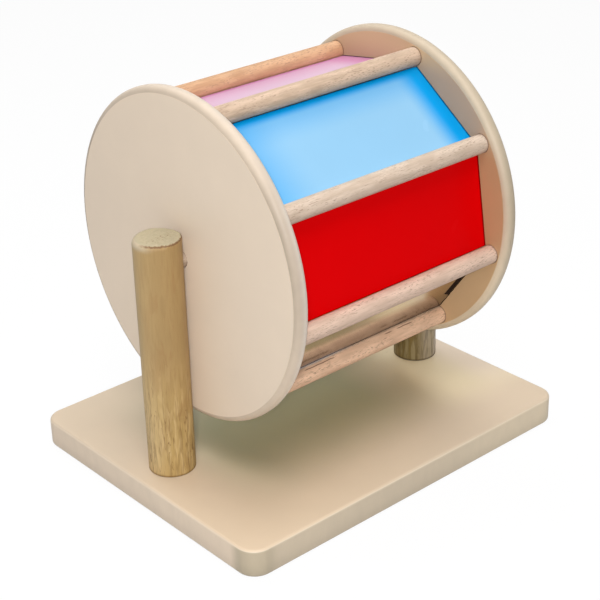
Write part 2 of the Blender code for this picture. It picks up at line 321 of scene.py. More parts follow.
class Finish:
    """A material, with short ways to add nodes. Its place, x, y and z are the piece's own, in metres."""

    def __init__(self, name, **uniform):
        self.material = bpy.data.materials.new(name)
        self.material.use_nodes = True
        self.tree = self.material.node_tree
        self.shader = self.tree.nodes["Principled BSDF"]
        for label, value in uniform.items():
            self.shader.inputs[label.replace("_", " ").title().replace("Ior", "IOR")].default_value = value
        self.place = self.tree.nodes.new("ShaderNodeTexCoord").outputs["Object"]
        parts = self.tree.nodes.new("ShaderNodeSeparateXYZ")
        self.feed(parts.inputs[0], self.place)
        self.x, self.y, self.z = parts.outputs

    def feed(self, socket, value):
        feed(self.tree, socket, value)

    def math(self, operation, first, second=0.0):
        return math_node(self.tree, operation, first, second)

    def times(self, first, second):
        return self.math("MULTIPLY", first, second)

    def plus(self, first, second):
        return self.math("ADD", first, second)

    def vector_math(self, operation, first, second):
        node = self.tree.nodes.new("ShaderNodeVectorMath")
        node.operation = operation
        self.feed(node.inputs[0], first)
        self.feed(node.inputs[1], second)
        return node.outputs

    def stretched(self, x, y, z):
        """The place, times a factor on each axis."""
        return self.vector_math("MULTIPLY", self.place, (x, y, z))["Vector"]

    def along(self, way):
        """How far a place lies in a direction."""
        return self.vector_math("DOT_PRODUCT", self.place, way)["Value"]

    def distance_from(self, point):
        return self.vector_math("DISTANCE", self.place, point)["Value"]

    def rising(self, value, low, high):
        """0 at low, 1 at high, smooth between them and level beyond. Either may be the larger."""
        node = self.tree.nodes.new("ShaderNodeMapRange")
        node.interpolation_type = "SMOOTHSTEP"
        self.feed(node.inputs["Value"], value)
        node.inputs["From Min"].default_value = min(low, high)
        node.inputs["From Max"].default_value = max(low, high)
        node.inputs["To Min"].default_value = float(low > high)
        node.inputs["To Max"].default_value = float(low < high)
        return node.outputs["Result"]

    def near(self, value, target, outer, inner):
        """1 where the value is within inner of its target, and 0 where it is further off than outer."""
        return self.rising(self.math("ABSOLUTE", self.math("SUBTRACT", value, target)), outer, inner)

    def between(self, value, low, high):
        """Goes from low to high as the value goes from 0 to 1."""
        return self.plus(self.times(value, high - low), low)

    def noise(self, vector, scale=1.0, detail=2.0, roughness=0.5, distortion=0.0):
        node = self.tree.nodes.new("ShaderNodeTexNoise")
        self.feed(node.inputs["Vector"], vector)
        node.inputs["Scale"].default_value = scale
        node.inputs["Detail"].default_value = detail
        node.inputs["Roughness"].default_value = roughness
        node.inputs["Distortion"].default_value = distortion
        return node.outputs[0]

    def specks(self, scale, radius, share):
        """1 in small round dots, one in a share of the cells of this scale."""
        node = self.tree.nodes.new("ShaderNodeTexVoronoi")
        self.feed(node.inputs["Vector"], self.place)
        node.inputs["Scale"].default_value = scale
        outer, inner = radius * scale * (1 + SPECK_SOFTNESS), radius * scale * (1 - SPECK_SOFTNESS)
        dot = self.rising(node.outputs["Distance"], outer, inner)
        parts = self.tree.nodes.new("ShaderNodeSeparateColor")
        self.feed(parts.inputs[0], node.outputs["Color"])
        return self.times(dot, self.math("LESS_THAN", parts.outputs[0], share))

    def blend(self, share, first, second):
        """The first colour where the share is 0, the second where it is 1."""
        node = self.tree.nodes.new("ShaderNodeMix")
        node.data_type = "RGBA"
        self.feed(node.inputs[MIX_SHARE], share)
        self.feed(node.inputs[MIX_FIRST], first)
        self.feed(node.inputs[MIX_SECOND], second)
        return node.outputs[MIX_RESULT]

    def tint(self, colour, tone, mask, strength):
        """Turns a colour towards a tone by this strength where the mask is 1."""
        return self.blend(self.times(mask, strength), colour, tone)

    def shade(self, colour, low, high, value):
        """Scales a colour by low to high as the value goes from 0 to 1."""
        node = self.tree.nodes.new("ShaderNodeVectorMath")
        node.operation = "SCALE"
        self.feed(node.inputs[0], colour)
        self.feed(node.inputs["Scale"], self.between(value, low, high))
        return node.outputs[0]

    def bump(self, height, distance, strength):
        node = self.tree.nodes.new("ShaderNodeBump")
        node.inputs["Strength"].default_value = strength
        node.inputs["Distance"].default_value = distance
        self.feed(node.inputs["Height"], height)
        self.feed(self.shader.inputs["Normal"], node.outputs[0])

    def done(self, colour, roughness):
        self.feed(self.shader.inputs["Base Color"], colour)
        self.feed(self.shader.inputs["Roughness"], roughness)
        return self.material


# In what follows, a pair of places or heights runs from where a tone is absent to where it is whole.

# Beige lacquer. On the board's top: the plain tone, warmer by the near left corner, painted light past the
# drum and at the far end, and a dull green painted shadow beneath the drum
BEIGE = (0.622, 0.500, 0.368)
BEIGE_WARM = (0.698, 0.546, 0.388)
BEIGE_PAINTED_LIGHT_PAST = (0.763, 0.642, 0.432)
BEIGE_PAINTED_LIGHT_FAR = (0.735, 0.610, 0.478)
BEIGE_PAINTED_SHADOW = (0.385, 0.370, 0.225)
WARM_SPOT_INSET = 0.02
WARM_SPOT_REACH = (0.15, 0.02)
PAST_X = (0.038, 0.085)
PAST_NEAR_Y = (-0.085, -0.045)
PAST_FAR_Y = (0.090, 0.0)
FAR_X_FROM_END = (-0.032, -0.006)
FAR_Y = (-0.080, -0.040)
BENEATH_MIDDLE_X = -0.012
BENEATH_REACH_X = (0.095, 0.045)
BENEATH_REACH_Y = (0.085, 0.010)
# On the board's sides, painted light and shade: a tone for the ends, for the front from its near end to its
# far one and for the near corner, a darker foot, and a painted highlight along the top edge
BEIGE_END = (0.745, 0.610, 0.470)
BEIGE_FRONT = (0.590, 0.491, 0.364)
BEIGE_FRONT_FAR = (0.695, 0.580, 0.422)
BEIGE_CORNER_SHADE = (0.490, 0.410, 0.295)
BEIGE_PAINTED_HIGHLIGHT = (0.780, 0.680, 0.550)
FRONT_FAR_X = (0.0, 0.090)
FRONT_Y_FROM_EDGE = (0.006, 0.001)
NEAR_CORNER = Vector((-0.7, -0.7, 0))
CORNER_FADE = (-0.014, -0.008)
SIDE_FOOT = (0.0, 0.010)
TOP_Z_FROM_EDGE = (-0.0014, -0.0007)
HIGHLIGHT_LINE_DROP = 0.0009
HIGHLIGHT_LINE_WIDTH = (0.0004, 0.0001)
# On the discs: the outer face, and the inner one, darker and warmer as painted shade, with the painted
# light and shade that it turns to at heights from the axle
BEIGE_FACE = (0.785, 0.653, 0.515)
BEIGE_INNER_SHADED = (0.450, 0.300, 0.195)
INNER_PAINTED_LIGHT_AND_SHADE = (
    ((0.580, 0.400, 0.238), (0.076, 0.092)),
    ((0.430, 0.268, 0.142), (0.056, 0.036)),
    ((0.565, 0.370, 0.205), (-0.010, -0.045)),
)
# On the discs' rims, below and above: the tones towards the outer face and towards the inner one. They are
# partly an edge tone darker than the face and partly painted light and shade, and the rim is painted
# lighter lower down
RIM_BELOW = {
    "left": ((0.490, 0.400, 0.310), (0.760, 0.670, 0.580)),
    "right": ((0.440, 0.360, 0.255), (0.510, 0.415, 0.300)),
}
RIM_ABOVE = {
    "left": ((0.640, 0.525, 0.410), (0.650, 0.560, 0.470)),
    "right": ((0.510, 0.425, 0.310), (0.570, 0.465, 0.340)),
}
RIM_ABOVE_Z = {"left": (0.045, 0.080), "right": (0.0, 0.070)}
RIM_LOW_Z = (0.020, -0.055)
RIM_INWARDS = (0.0030, -0.0040)
OUTER_SIDE = (-0.002, 0.002)
FACE_FADE = (0.0002, -0.0002)
SPECK = (0.25, 0.20, 0.13)
LACQUER_SPECULAR = 0.35
LACQUER_ROUGHNESS = (0.40, 0.52)


def lacquer_base(finish, colour):
    """Cloudy tone, a few specks and a fine sprayed surface, over a colour."""
    cloud = finish.noise(finish.place, 35, detail=3, roughness=0.55)
    colour = finish.shade(colour, 0.955, 1.035, cloud)
    colour = finish.tint(colour, SPECK, finish.specks(45, 0.0003, 0.25), 0.6)
    finish.bump(finish.noise(finish.place, 650, detail=2), 0.00004, 0.35)
    return finish.done(colour, finish.between(cloud, *LACQUER_ROUGHNESS))


def board_lacquer():
    """The top and the sides have tones of their own, much of them painted light and shade, and a painted
    highlight lies between them.
    """
    finish = Finish("beige_lacquer_board", specular_ior_level=LACQUER_SPECULAR)
    low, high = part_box("base_board")
    from_spot = finish.distance_from((low.x + WARM_SPOT_INSET, low.y, high.z))
    top = finish.blend(finish.rising(from_spot, *WARM_SPOT_REACH), BEIGE, BEIGE_WARM)
    # Painted light past the drum and at the far end, and a painted shadow beneath the drum
    past = finish.times(finish.rising(finish.x, *PAST_X), finish.rising(finish.y, *PAST_NEAR_Y))
    top = finish.blend(finish.times(past, finish.rising(finish.y, *PAST_FAR_Y)), top, BEIGE_PAINTED_LIGHT_PAST)
    far = finish.rising(finish.x, *shifted(high.x, FAR_X_FROM_END))
    top = finish.blend(finish.times(far, finish.rising(finish.y, *FAR_Y)), top, BEIGE_PAINTED_LIGHT_FAR)
    beneath = finish.near(finish.x, BENEATH_MIDDLE_X, *BENEATH_REACH_X)
    beneath = finish.times(beneath, finish.near(finish.y, 0.0, *BENEATH_REACH_Y))
    top = finish.blend(beneath, top, BEIGE_PAINTED_SHADOW)

    # The sides: painted light and shade, with each face, the near corner and the foot in a tone of its own
    front = finish.blend(finish.rising(finish.x, *FRONT_FAR_X), BEIGE_FRONT, BEIGE_FRONT_FAR)
    at_front = finish.rising(finish.y, *shifted(low.y, FRONT_Y_FROM_EDGE))
    side = finish.blend(at_front, BEIGE_END, front)
    corner = shifted(NEAR_CORNER.dot(low), CORNER_FADE)
    side = finish.blend(finish.rising(finish.along(NEAR_CORNER), *corner), side, BEIGE_CORNER_SHADE)
    side = finish.shade(side, 0.90, 1.0, finish.rising(finish.z, *SIDE_FOOT))
    mottle = finish.noise(finish.stretched(180, 180, 60), detail=3, roughness=0.6)
    side = finish.shade(side, 0.94, 1.06, mottle)

    on_top = finish.rising(finish.z, *shifted(BOARD_TOP, TOP_Z_FROM_EDGE))
    # A painted highlight along the top edge
    painted_highlight = finish.near(finish.z, BOARD_TOP - HIGHLIGHT_LINE_DROP, *HIGHLIGHT_LINE_WIDTH)
    return lacquer_base(finish, finish.tint(finish.blend(on_top, side, top), BEIGE_PAINTED_HIGHLIGHT, painted_highlight, 0.4))


def disc_lacquer(side, end):
    """The outer face, the rounded rim and the warmer inner face have tones of their own, much of them
    painted light and shade.
    """
    finish = Finish(f"beige_lacquer_{side}_disc", specular_ior_level=LACQUER_SPECULAR)
    outwards = finish.times(finish.x, end)
    from_axle = finish.plus(finish.times(finish.y, finish.y), finish.times(finish.z, finish.z))
    from_axle = finish.math("SQRT", from_axle)
    # The rim: a darker edge tone with painted light and shade over it
    inwards = finish.rising(outwards, *RIM_INWARDS)
    below = finish.blend(inwards, *RIM_BELOW[side])
    above = finish.blend(inwards, *RIM_ABOVE[side])
    rim = finish.blend(finish.rising(finish.z, *RIM_ABOVE_Z[side]), below, above)
    rim = finish.shade(rim, 0.93, 1.07, finish.noise(finish.place, 140, detail=3, roughness=0.6))
    # Painted light: the rim lighter lower down
    rim = finish.shade(rim, 0.89, 1.27, finish.rising(finish.z, *RIM_LOW_Z))

    # The inner face: painted shade, with painted light and shade by height from the axle
    inner = BEIGE_INNER_SHADED
    for tone, heights in INNER_PAINTED_LIGHT_AND_SHADE:
        inner = finish.blend(finish.rising(finish.z, *heights), inner, tone)
    face = finish.blend(finish.rising(outwards, *OUTER_SIDE), inner, BEIGE_FACE)
    face_edge = DISC_DIAMETER / 2 - DISC_EDGE_ROUNDING
    on_face = finish.rising(from_axle, *shifted(face_edge, FACE_FADE))
    return lacquer_base(finish, finish.blend(on_face, rim, face))


# Beech, on the dowels and the axle: colours of the light and the dark grain, which differ from piece to
# piece, partly as beech does and partly as painted light, shade and reflected colour for where each piece
# lies
BEECH_TONES = {
    "axle": ((0.42, 0.33, 0.25), (0.35, 0.265, 0.195)),
    "dowel_1": ((0.68, 0.50, 0.36), (0.56, 0.40, 0.27)),
    "dowel_2": ((0.60, 0.365, 0.215), (0.495, 0.285, 0.157)),
    "dowel_3": ((0.595, 0.44, 0.325), (0.48, 0.35, 0.25)),
    "dowel_4": ((0.605, 0.485, 0.385), (0.51, 0.395, 0.303)),
    "dowel_5": ((0.665, 0.490, 0.385), (0.57, 0.413, 0.318)),
    "dowel_6": ((0.80, 0.535, 0.365), (0.66, 0.425, 0.285)),
    "dowel_7": ((0.72, 0.54, 0.40), (0.58, 0.42, 0.30)),
    "dowel_8": ((0.70, 0.50, 0.36), (0.54, 0.37, 0.25)),
}
FLECK = (0.20, 0.11, 0.075)
SOCKET_LINE_FROM_DISC = (-0.0007, -0.0002)
BEECH_SPECULAR = 0.25
BEECH_ROUGHNESS = (0.50, 0.68)
# One dowel has a painted highlight along a side, and long cracks: each one's start, end and height on it
CRACKED_DOWEL = "dowel_6"
PAINTED_HIGHLIGHT_EDGE = (0.800, 0.700, 0.640)
PAINTED_HIGHLIGHT_EDGE_Z = (-0.0042, -0.0047)
PAINTED_HIGHLIGHT_EDGE_X = (0.010, -0.020)
CRACK = (0.150, 0.065, 0.035)
LONG_CRACKS = ((-0.040, -0.014, -0.0029), (0.026, 0.034, -0.0030), (0.0365, 0.0520, -0.0031))
LONG_CRACK_WIDTH = (0.00036, 0.00016)
LONG_CRACK_TAPER = 0.003
LONG_CRACK_WAVER = 0.0008


def long_cracks(finish, colour):
    waver = finish.noise(finish.stretched(130, 0, 0))
    waver = finish.times(finish.math("SUBTRACT", waver, 0.5), LONG_CRACK_WAVER)
    height_here = finish.plus(finish.z, waver)
    for start, end, height in LONG_CRACKS:
        half = (end - start) / 2
        reach = finish.near(finish.x, (start + end) / 2, half, half - LONG_CRACK_TAPER)
        crack = finish.near(height_here, height, *LONG_CRACK_WIDTH)
        colour = finish.blend(finish.times(crack, finish.times(reach, 0.85)), colour, CRACK)
    return colour


def beech(node):
    """Soft mottled grain and the short dark flecks of beech, along X."""
    light, dark = BEECH_TONES[node]
    finish = Finish(f"beech_{node}", specular_ior_level=BEECH_SPECULAR)
    mottle = finish.noise(finish.stretched(45, 190, 190), detail=3, roughness=0.55, distortion=0.2)
    colour = finish.blend(finish.rising(mottle, 0.36, 0.64), dark, light)
    grain = finish.noise(finish.stretched(45, 1000, 1000), detail=2, roughness=0.6)
    colour = finish.shade(colour, 0.82, 1.18, grain)
    patch = finish.noise(finish.stretched(40, 150, 150), detail=2)
    fine = finish.noise(finish.stretched(420, 2600, 2600), detail=0)
    fleck = finish.times(finish.rising(fine, 0.62, 0.70), finish.rising(patch, 0.40, 0.60))
    colour = finish.tint(colour, FLECK, fleck, 0.5)
    long_fleck = finish.noise(finish.stretched(120, 1700, 1700), detail=1)
    colour = finish.tint(colour, FLECK, finish.rising(long_fleck, 0.71, 0.77), 0.6)
    if node != "axle":
        at_sockets = shifted(DRUM_HALF, SOCKET_LINE_FROM_DISC)
        socket_line = finish.rising(finish.math("ABSOLUTE", finish.x), *at_sockets)
        colour = finish.tint(colour, FLECK, socket_line, 0.7)
    if node == CRACKED_DOWEL:
        # A painted highlight along one side of this dowel
        wear_and_highlight = finish.times(finish.rising(finish.z, *PAINTED_HIGHLIGHT_EDGE_Z), finish.rising(finish.x, *PAINTED_HIGHLIGHT_EDGE_X))
        colour = long_cracks(finish, finish.tint(colour, PAINTED_HIGHLIGHT_EDGE, wear_and_highlight, 0.7))
    finish.bump(finish.math("SUBTRACT", grain, fleck), 0.00008, 0.5)
    return finish.done(colour, finish.between(grain, *BEECH_ROUGHNESS))


# Oiled wood, on the posts: the tones above and at the foot, of the pale flames, of cracks, and the painted
# light on the side that faces a way, then the flames' wave and how strong flames and cracks are
PostLook = namedtuple("PostLook", "upper lower flame crack side side_way flames flame_share crack_share")
POST_LOOKS = {
    "left": PostLook(
        upper=(0.340, 0.220, 0.090),
        lower=(0.440, 0.295, 0.110),
        flame=(0.680, 0.500, 0.250),
        crack=(0.175, 0.092, 0.028),
        side=(0.660, 0.475, 0.235),
        side_way=Vector((-0.756, 0.654, 0)),
        flames=(380, 380, 60),
        flame_share=0.40,
        crack_share=0.62,
    ),
    "right": PostLook(
        upper=(0.30, 0.210, 0.095),
        # darker at the foot, partly as painted shade beneath the drum
        lower=(0.170, 0.120, 0.038),
        flame=(0.310, 0.250, 0.135),
        crack=(0.05, 0.032, 0.012),
        side=(0.540, 0.460, 0.370),
        side_way=Vector((0.756, -0.654, 0)),
        flames=(240, 240, 26),
        flame_share=0.60,
        crack_share=0.45,
    ),
}
POST_FOOT = (0.090, 0.020)
# Heights of the painted shade where a post meets the board
POST_CONTACT_SHADE = (0.0016, 0.0004)
# How far round the painted light on the side reaches
POST_SIDE = (-0.002, 0.013)
BLOTCH = (0.270, 0.140, 0.050)
# At the top, with heights given from it: pale end grain, a shoulder paler on one side, and a dark,
# ragged stain along the rim on another
END_GRAIN = (0.455, 0.390, 0.257)
END_GRAIN_Z = (-0.0006, -0.0002)
WORN_SIDE = Vector((-0.90, 0.44, 0.0))
WORN_SIDE_FADE = (0.003, 0.013)
PALE_SHOULDER = (0.515, 0.425, 0.300)
PALE_SHOULDER_Z = (-0.0052, -0.0018)
STAINED_SIDE = Vector((0.35, -0.94, 0.0))
STAINED_SIDE_FADE = (-0.006, 0.004)
RIM_STAIN = (0.150, 0.070, 0.030)
RIM_STAIN_DROP = 0.0007
RIM_STAIN_WIDTH = (0.0006, 0.0002)
RIM_STAIN_RAGGED = 0.0012
POST_SPECULAR = 0.3
POST_ROUGHNESS = (0.46, 0.66)


def post_top(finish, colour, height):
    """The post's colour with its end grain, its pale shoulder and its stained rim."""
    rings = finish.noise(finish.stretched(320, 800, 320), detail=4, roughness=0.7, distortion=1.0)
    end_grain = finish.shade(END_GRAIN, 0.66, 1.24, rings)
    wear_and_highlight = finish.times(finish.rising(finish.along(WORN_SIDE), *WORN_SIDE_FADE), 0.9)
    shoulder = finish.times(finish.rising(finish.z, *shifted(height, PALE_SHOULDER_Z)), wear_and_highlight)
    colour = finish.blend(shoulder, colour, PALE_SHOULDER)
    colour = finish.blend(finish.rising(finish.z, *shifted(height, END_GRAIN_Z)), colour, end_grain)
    ragged = finish.math("SUBTRACT", finish.noise(finish.place, 900, detail=2), 0.5)
    ragged = finish.plus(finish.z, finish.times(ragged, RIM_STAIN_RAGGED))
    rim = finish.near(ragged, height - RIM_STAIN_DROP, *RIM_STAIN_WIDTH)
    broken = finish.rising(finish.noise(finish.place, 420, detail=1), 0.26, 0.44)
    stained = finish.rising(finish.along(STAINED_SIDE), *STAINED_SIDE_FADE)
    return finish.tint(colour, RIM_STAIN, finish.times(finish.times(rim, broken), stained), 0.85)


def oiled_wood(side, height):
    """Soft brown above, flamed and cracked at the foot, with a pale end grain and a stained rim."""
    look = POST_LOOKS[side]
    finish = Finish(f"oiled_wood_{side}", specular_ior_level=POST_SPECULAR)
    low_down = finish.rising(finish.z, *POST_FOOT)
    cloud = finish.noise(finish.stretched(70, 70, 28), detail=2, roughness=0.5, distortion=0.4)
    colour = finish.shade(finish.blend(low_down, look.upper, look.lower), 0.86, 1.14, cloud)
    fine = finish.noise(finish.stretched(800, 800, 80), detail=3, roughness=0.6, distortion=0.5)
    colour = finish.shade(colour, 0.94, 1.06, fine)
    blotch = finish.noise(finish.stretched(130, 130, 34), detail=3, roughness=0.6, distortion=0.6)
    colour = finish.tint(colour, BLOTCH, finish.rising(blotch, 0.50, 0.66), 0.35)
    # Painted light on the side that faces a way, stronger at the foot
    painted_light = finish.times(finish.rising(finish.along(look.side_way), *POST_SIDE), finish.plus(low_down, 1.0))
    colour = finish.tint(colour, look.side, painted_light, 0.43)

    wave = finish.noise(finish.stretched(*look.flames), detail=2, roughness=0.5, distortion=0.6)
    flame = finish.times(finish.rising(wave, 0.44, 0.64), finish.times(low_down, look.flame_share))
    colour = finish.blend(flame, colour, look.flame)
    streak = finish.noise(finish.stretched(620, 620, 60), detail=2, roughness=0.6, distortion=0.8)
    streak = finish.times(finish.rising(streak, 0.47, 0.66), finish.between(low_down, 0.12, 0.42))
    colour = finish.blend(streak, colour, look.crack)
    vein = finish.noise(finish.stretched(380, 380, 36), detail=1, roughness=0.5, distortion=0.9)
    crack = finish.near(vein, 0.5, 0.024, 0.006)
    patch = finish.rising(finish.noise(finish.stretched(150, 150, 50), detail=1), 0.40, 0.58)
    depth = finish.plus(finish.times(low_down, look.crack_share), 0.05)
    colour = finish.blend(finish.times(finish.times(crack, patch), depth), colour, look.crack)
    # Painted shade where the post meets the board, in the cracks' tone
    colour = finish.tint(colour, look.crack, finish.rising(finish.z, *POST_CONTACT_SHADE), 0.6)

    finish.bump(finish.math("SUBTRACT", finish.plus(cloud, fine), finish.times(crack, depth)), 0.00012, 0.5)
    return finish.done(post_top(finish, colour, height), finish.between(fine, *POST_ROUGHNESS))


# Panels: the colour towards one long edge and the ends, as painted shade, and elsewhere, with a painted
# sheen
PANEL_TONES = {
    "panel_orange": ((0.80, 0.16, 0.005), (0.92, 0.30, 0.03)),
    "panel_pink": ((0.57, 0.248, 0.445), (0.617, 0.432, 0.578)),
    "panel_blue": ((0.0, 0.295, 0.695), (0.243, 0.471, 0.675)),
    "panel_red": ((0.67, 0.0, 0.001), (0.655, 0.0, 0.001)),
    "panel_yellow": ((0.86, 0.48, 0.0), (0.95, 0.68, 0.06)),
    "panel_green": ((0.02, 0.32, 0.05), (0.10, 0.48, 0.12)),
    "panel_purple": ((0.13, 0.03, 0.35), (0.25, 0.10, 0.50)),
}
# How far in from the long edge, from the far disc and along X the light tone comes in
LIGHT_PAST_EDGE = (0.0018, 0.0072)
LIGHT_PAST_EDGE_SOFTLY = (0.003, 0.024)
LIGHT_PAST_FAR_DISC = (0.0065, 0.0235)
LIGHT_X = (-0.095, -0.035)
SHADE_LINE_BY_FAR_DISC = (0.0002, 0.0009)
PANEL_SPECULAR = 0.10
RED_SPECULAR = 0.02
PANEL_ROUGHNESS = (0.20, 0.30)


def gloss(node):
    """A coloured sheet, deeper towards one long edge and the far disc as painted shade, and with a painted
    sheen elsewhere.
    """
    deep, light = PANEL_TONES[node]
    specular = RED_SPECULAR if node == "panel_red" else PANEL_SPECULAR
    finish = Finish(f"gloss_{node}", specular_ior_level=specular)
    # Painted shade towards one long edge and the ends, and a painted sheen in the light tone elsewhere
    from_edge = finish.math("SUBTRACT", PANEL_WIDTH / 2, finish.y)
    crisp = finish.times(finish.rising(from_edge, *LIGHT_PAST_EDGE), 0.6)
    soft = finish.times(finish.rising(from_edge, *LIGHT_PAST_EDGE_SOFTLY), 0.4)
    from_disc = finish.math("SUBTRACT", size(node).x / 2 - PANEL_GROOVE_DEPTH, finish.x)
    ends = finish.times(finish.rising(from_disc, *LIGHT_PAST_FAR_DISC), finish.rising(finish.x, *LIGHT_X))
    colour = finish.blend(finish.times(finish.plus(crisp, soft), ends), deep, light)
    cloud = finish.noise(finish.place, 26, detail=2)
    colour = finish.shade(colour, 0.97, 1.03, cloud)
    # Painted shade: a dark line against the far disc
    colour = finish.shade(colour, 0.35, 1.0, finish.rising(from_disc, *SHADE_LINE_BY_FAR_DISC))
    finish.bump(cloud, 0.0004, 0.15)
    return finish.done(colour, finish.between(cloud, *PANEL_ROUGHNESS))


# The mirror: silvering with streaks of haze, and painted reflection and shade, dimmer at the far end and
# along one edge
MIRROR_CLEAR = (0.78, 0.74, 0.675)
MIRROR_HAZY = (0.70, 0.645, 0.57)
MIRROR_FAR = (0.390, 0.318, 0.212)
MIRROR_FAR_X = (0.022, 0.068)
MIRROR_DIM_Y = (0.0, -0.020)
# Dark and matte: a line of painted shade along that edge, bluer at the near end as a painted reflection,
# and a gap by the far disc, between two X, whose foot slants
MIRROR_EDGE = (0.016, 0.007, 0.004)
MIRROR_EDGE_NEAR = (0.020, 0.022, 0.075)
MIRROR_EDGE_NEAR_X = (0.0, -0.020)
MIRROR_EDGE_Y = (-0.0281, -0.0286)
MIRROR_GAP = (0.0707, 0.0774)
MIRROR_GAP_FOOT = 0.0366
MIRROR_GAP_SLANT = 0.68
MIRROR_GAP_SOFT = 0.0004
MIRROR_SPECULAR = 0.1
MIRROR_ROUGHNESS = (0.10, 0.18)
MIRROR_DARK_MATTE_ROUGHNESS = 0.9


def mirror():
    """Hazy silvered acrylic with painted reflection and shade, dark and matte in a line along one edge and
    in a gap by the far disc.
    """
    finish = Finish("acrylic_mirror", specular_ior_level=MIRROR_SPECULAR)
    streak = finish.noise(finish.stretched(3, 160, 160), detail=3, roughness=0.6)
    colour = finish.blend(finish.rising(streak, 0.3, 0.7), MIRROR_CLEAR, MIRROR_HAZY)
    # Painted reflection and shade: dimmer towards the far end and one long edge, brighter by the other
    colour = finish.blend(finish.rising(finish.x, *MIRROR_FAR_X), colour, MIRROR_FAR)
    colour = finish.shade(colour, 1.25, 0.56, finish.rising(finish.y, *MIRROR_DIM_Y))

    start, end = MIRROR_GAP
    past_start = finish.rising(finish.x, start - MIRROR_GAP_SOFT, start)
    before_end = finish.rising(finish.x, end, end - MIRROR_GAP_SOFT)
    foot = finish.plus(finish.y, finish.times(finish.x, MIRROR_GAP_SLANT))
    over_foot = finish.rising(foot, MIRROR_GAP_FOOT - MIRROR_GAP_SOFT, MIRROR_GAP_FOOT)
    gap = finish.times(finish.times(past_start, before_end), over_foot)
    # Painted shade in a line along the edge, bluer at the near end as a painted reflection
    line = finish.rising(finish.y, *MIRROR_EDGE_Y)
    near_line = finish.times(line, finish.rising(finish.x, *MIRROR_EDGE_NEAR_X))
    dark_matte = finish.math("MAXIMUM", gap, line)
    colour = finish.blend(dark_matte, colour, finish.blend(near_line, MIRROR_EDGE, MIRROR_EDGE_NEAR))

    finish.bump(streak, 0.0002, 0.06)
    finish.feed(finish.shader.inputs["Metallic"], finish.math("SUBTRACT", 1.0, dark_matte))
    haze = finish.between(streak, *MIRROR_ROUGHNESS)
    return finish.done(colour, finish.math("MAXIMUM", haze, finish.times(dark_matte, MIRROR_DARK_MATTE_ROUGHNESS)))


ZINC_PALE = (0.66, 0.65, 0.61)
ZINC_DULL = (0.52, 0.51, 0.49)
ZINC_ROUGHNESS = (0.28, 0.46)


def zinc():
    finish = Finish("zinc_steel", metallic=1.0)
    scratches = finish.noise(finish.stretched(2500, 400, 400), detail=2)
    blotch = finish.noise(finish.place, 500, detail=2)
    finish.bump(scratches, 0.00002, 0.4)
    return finish.done(finish.blend(blotch, ZINC_PALE, ZINC_DULL), finish.between(blotch, *ZINC_ROUGHNESS))


# Board


def rounded_outline(length, width, radius, z):
    points = []
    for quarter, (sign_x, sign_y) in enumerate(((1, 1), (-1, 1), (-1, -1), (1, -1))):
        centre = Vector((sign_x * (length / 2 - radius), sign_y * (width / 2 - radius), z))
        for step in range(BOARD_CORNER_STEPS + 1):
            turn = pi / 2 * (quarter + step / BOARD_CORNER_STEPS)
            points.append(centre + radius * Vector((cos(turn), sin(turn), 0)))
    return points


def post_hole(side, thickness):
    """What the board leaves out for a post's tenon and for its screw: (radius, z) points, foot first."""
    tenon_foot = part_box(f"{side}_post")[0].z - CLEARANCE
    cone_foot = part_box(f"{side}_post_screw")[0].z + SCREW_HEAD_RIM + CLEARANCE
    head = SCREW_HEAD_DIAMETER / 2 + CLEARANCE
    shank = SCREW_DIAMETER / 2 + CLEARANCE
    tenon = TENON_DIAMETER / 2 + CLEARANCE
    return [
        (head, -CUTTER_REACH),
        (head, cone_foot),
        (shank, cone_foot + head - shank),
        (shank, tenon_foot),
        (tenon, tenon_foot),
        (tenon, thickness + CUTTER_REACH),
    ]


def make_board():
    length, width, thickness = size("base_board")
    rounding = BOARD_EDGE_ROUNDING
    turns = quarter_turn(BOARD_EDGE_STEPS)
    upper = [(rounding * (1 - cos(t)), thickness - rounding * (1 - sin(t))) for t in turns]
    lower = [(inset, thickness - z) for inset, z in reversed(upper)]
    rings = [
        rounded_outline(length - 2 * inset, width - 2 * inset, BOARD_CORNER_RADIUS - inset, z)
        for inset, z in lower + upper
    ]
    board = piece("board", loft(rings, CAP_RIM))
    for side in ENDS:
        hole = loft(turned_rings(post_hole(side, thickness), ROD_FACETS))
        bmesh.ops.translate(hole, verts=hole.verts, vec=(middle(f"{side}_post").x, 0, 0))
        carve(board, hole)
    stand_for(board, "base_board", "stand", board_lacquer())


# Posts


def ripple(turn, waves, height):
    """A smooth unevenness round a post, from -1 to 1."""
    return noise.noise(Vector((cos(turn) * waves, sin(turn) * waves, height)))


def side_ring(radius, z, seed):
    """A ring of a post's slightly uneven side."""
    ring = []
    for turn in full_turn(POST_FACETS):
        uneven = ripple(turn, POST_BULGES_ROUND, z * POST_BULGES_ALONG + seed)
        ring.append(polar(radius - POST_BULGE + POST_BULGE * uneven, turn, z))
    return ring


def rim_ring(radius, height, lean, seed):
    """A ring of a post's top rim, rounded by wear, from its side (a lean of 0) to its end (a quarter turn).

    Its wear is greatest on one side and a little uneven, and it has small notches.
    """
    ring = []
    for turn in full_turn(POST_FACETS):
        facing = WORN_SIDE.dot(polar(1, turn, 0))
        wear = 1.0 + RIM_WEAR * facing + RIM_WEAR * ripple(turn, RIM_RIPPLES, seed)
        wear_and_highlight = POST_TOP_ROUNDING * wear
        notch = NOTCH_DEPTH * max(0.0, ripple(turn, NOTCH_RIPPLES, seed + NOTCH_SEED) - NOTCH_THRESHOLD)
        notch *= sin(2 * lean)
        at = radius - RIM_INSET - wear_and_highlight * (1 - cos(lean)) - notch
        ring.append(polar(at, turn, height - wear_and_highlight * (1 - sin(lean)) - notch))
    return ring


